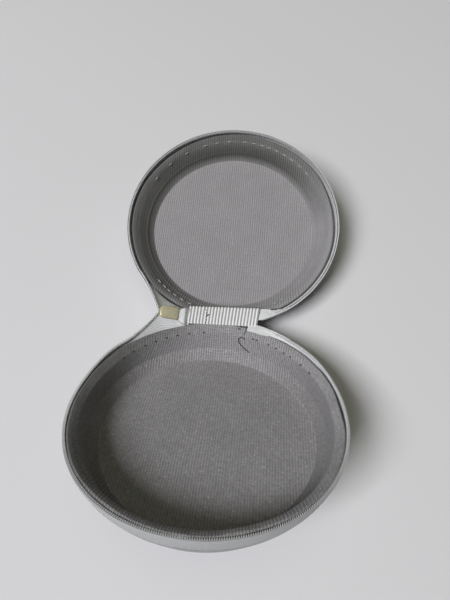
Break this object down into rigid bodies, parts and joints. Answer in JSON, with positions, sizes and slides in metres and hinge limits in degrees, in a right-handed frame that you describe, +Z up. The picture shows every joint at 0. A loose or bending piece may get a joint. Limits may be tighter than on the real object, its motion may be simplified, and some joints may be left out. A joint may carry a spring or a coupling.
{
  "type": "contact lens case",
  "caption": "Round zip-around contact lens case: padded base and shallower lid with grey knit lining, joined by a ribbed ribbon hinge, closed by a coil zip with a metal slider.",
  "frame": {"origin": "on the table, under the middle of the open case's bounding box", "axes": "+X along the hinge, +Y from the base in front to the lid behind, +Z up from the table"},
  "size_m": [0.1, 0.1898, 0.0579],
  "materials": {
    "cover": "matt grey woven cover cloth",
    "foam": "dark moulded closed-cell foam",
    "lining": "matt mid-grey fine knit",
    "zip_tape": "cool grey woven zip tape",
    "zip_coil": "grey nylon coil",
    "ribbon": "ribbed ribbon in white and pale grey",
    "slider_metal": "dull nickel-plated brass"
  },
  "bodies": {
    "base": {"base_cover": "cover", "base_foam": "foam", "base_lining": "lining", "base_zip_tape": "zip_tape", "base_zip_coil": "zip_coil", "hinge_ribbon": "ribbon", "hinge_web": "cover"},
    "lid": {"lid_cover": "cover", "lid_foam": "foam", "lid_lining": "lining", "lid_zip_tape": "zip_tape", "lid_zip_coil": "zip_coil"},
    "zip_end": {"zip_chain_end": "zip_coil"},
    "slider": {"slider_body": "slider_metal"},
    "pull": {"pull_tab": "slider_metal"}
  },
  "joints": [
    {"name": "lid_hinge", "type": "hinge", "parent": "base", "child": "lid", "pos_m": [-0.00003, -0.00329, 0.01439], "axis": [1, 0, 0], "range_deg": [0, 142], "deforming": ["hinge_ribbon", "hinge_web"]},
    {"name": "zip_end_fold", "type": "hinge", "parent": "base", "child": "zip_end", "pos_m": [-0.00003, -0.00329, 0.01439], "axis": [1, 0, 0], "range_deg": [0, 49.7]},
    {"name": "slider_travel", "type": "hinge", "parent": "zip_end", "child": "slider", "pos_m": [-0.00003, -0.01476, 0.06162], "axis": [0, 0.9717, 0.2361], "range_deg": [0, 296]},
    {"name": "pull_swing", "type": "hinge", "parent": "slider", "child": "pull", "pos_m": [-0.02481, -0.00407, 0.01764], "axis": [0, 0.9717, 0.2361], "range_deg": [-15, 120]}
  ],
  "couplings": [
    {"joint": "zip_end_fold", "follows": "lid_hinge", "ratio": 0.35}
  ]
}
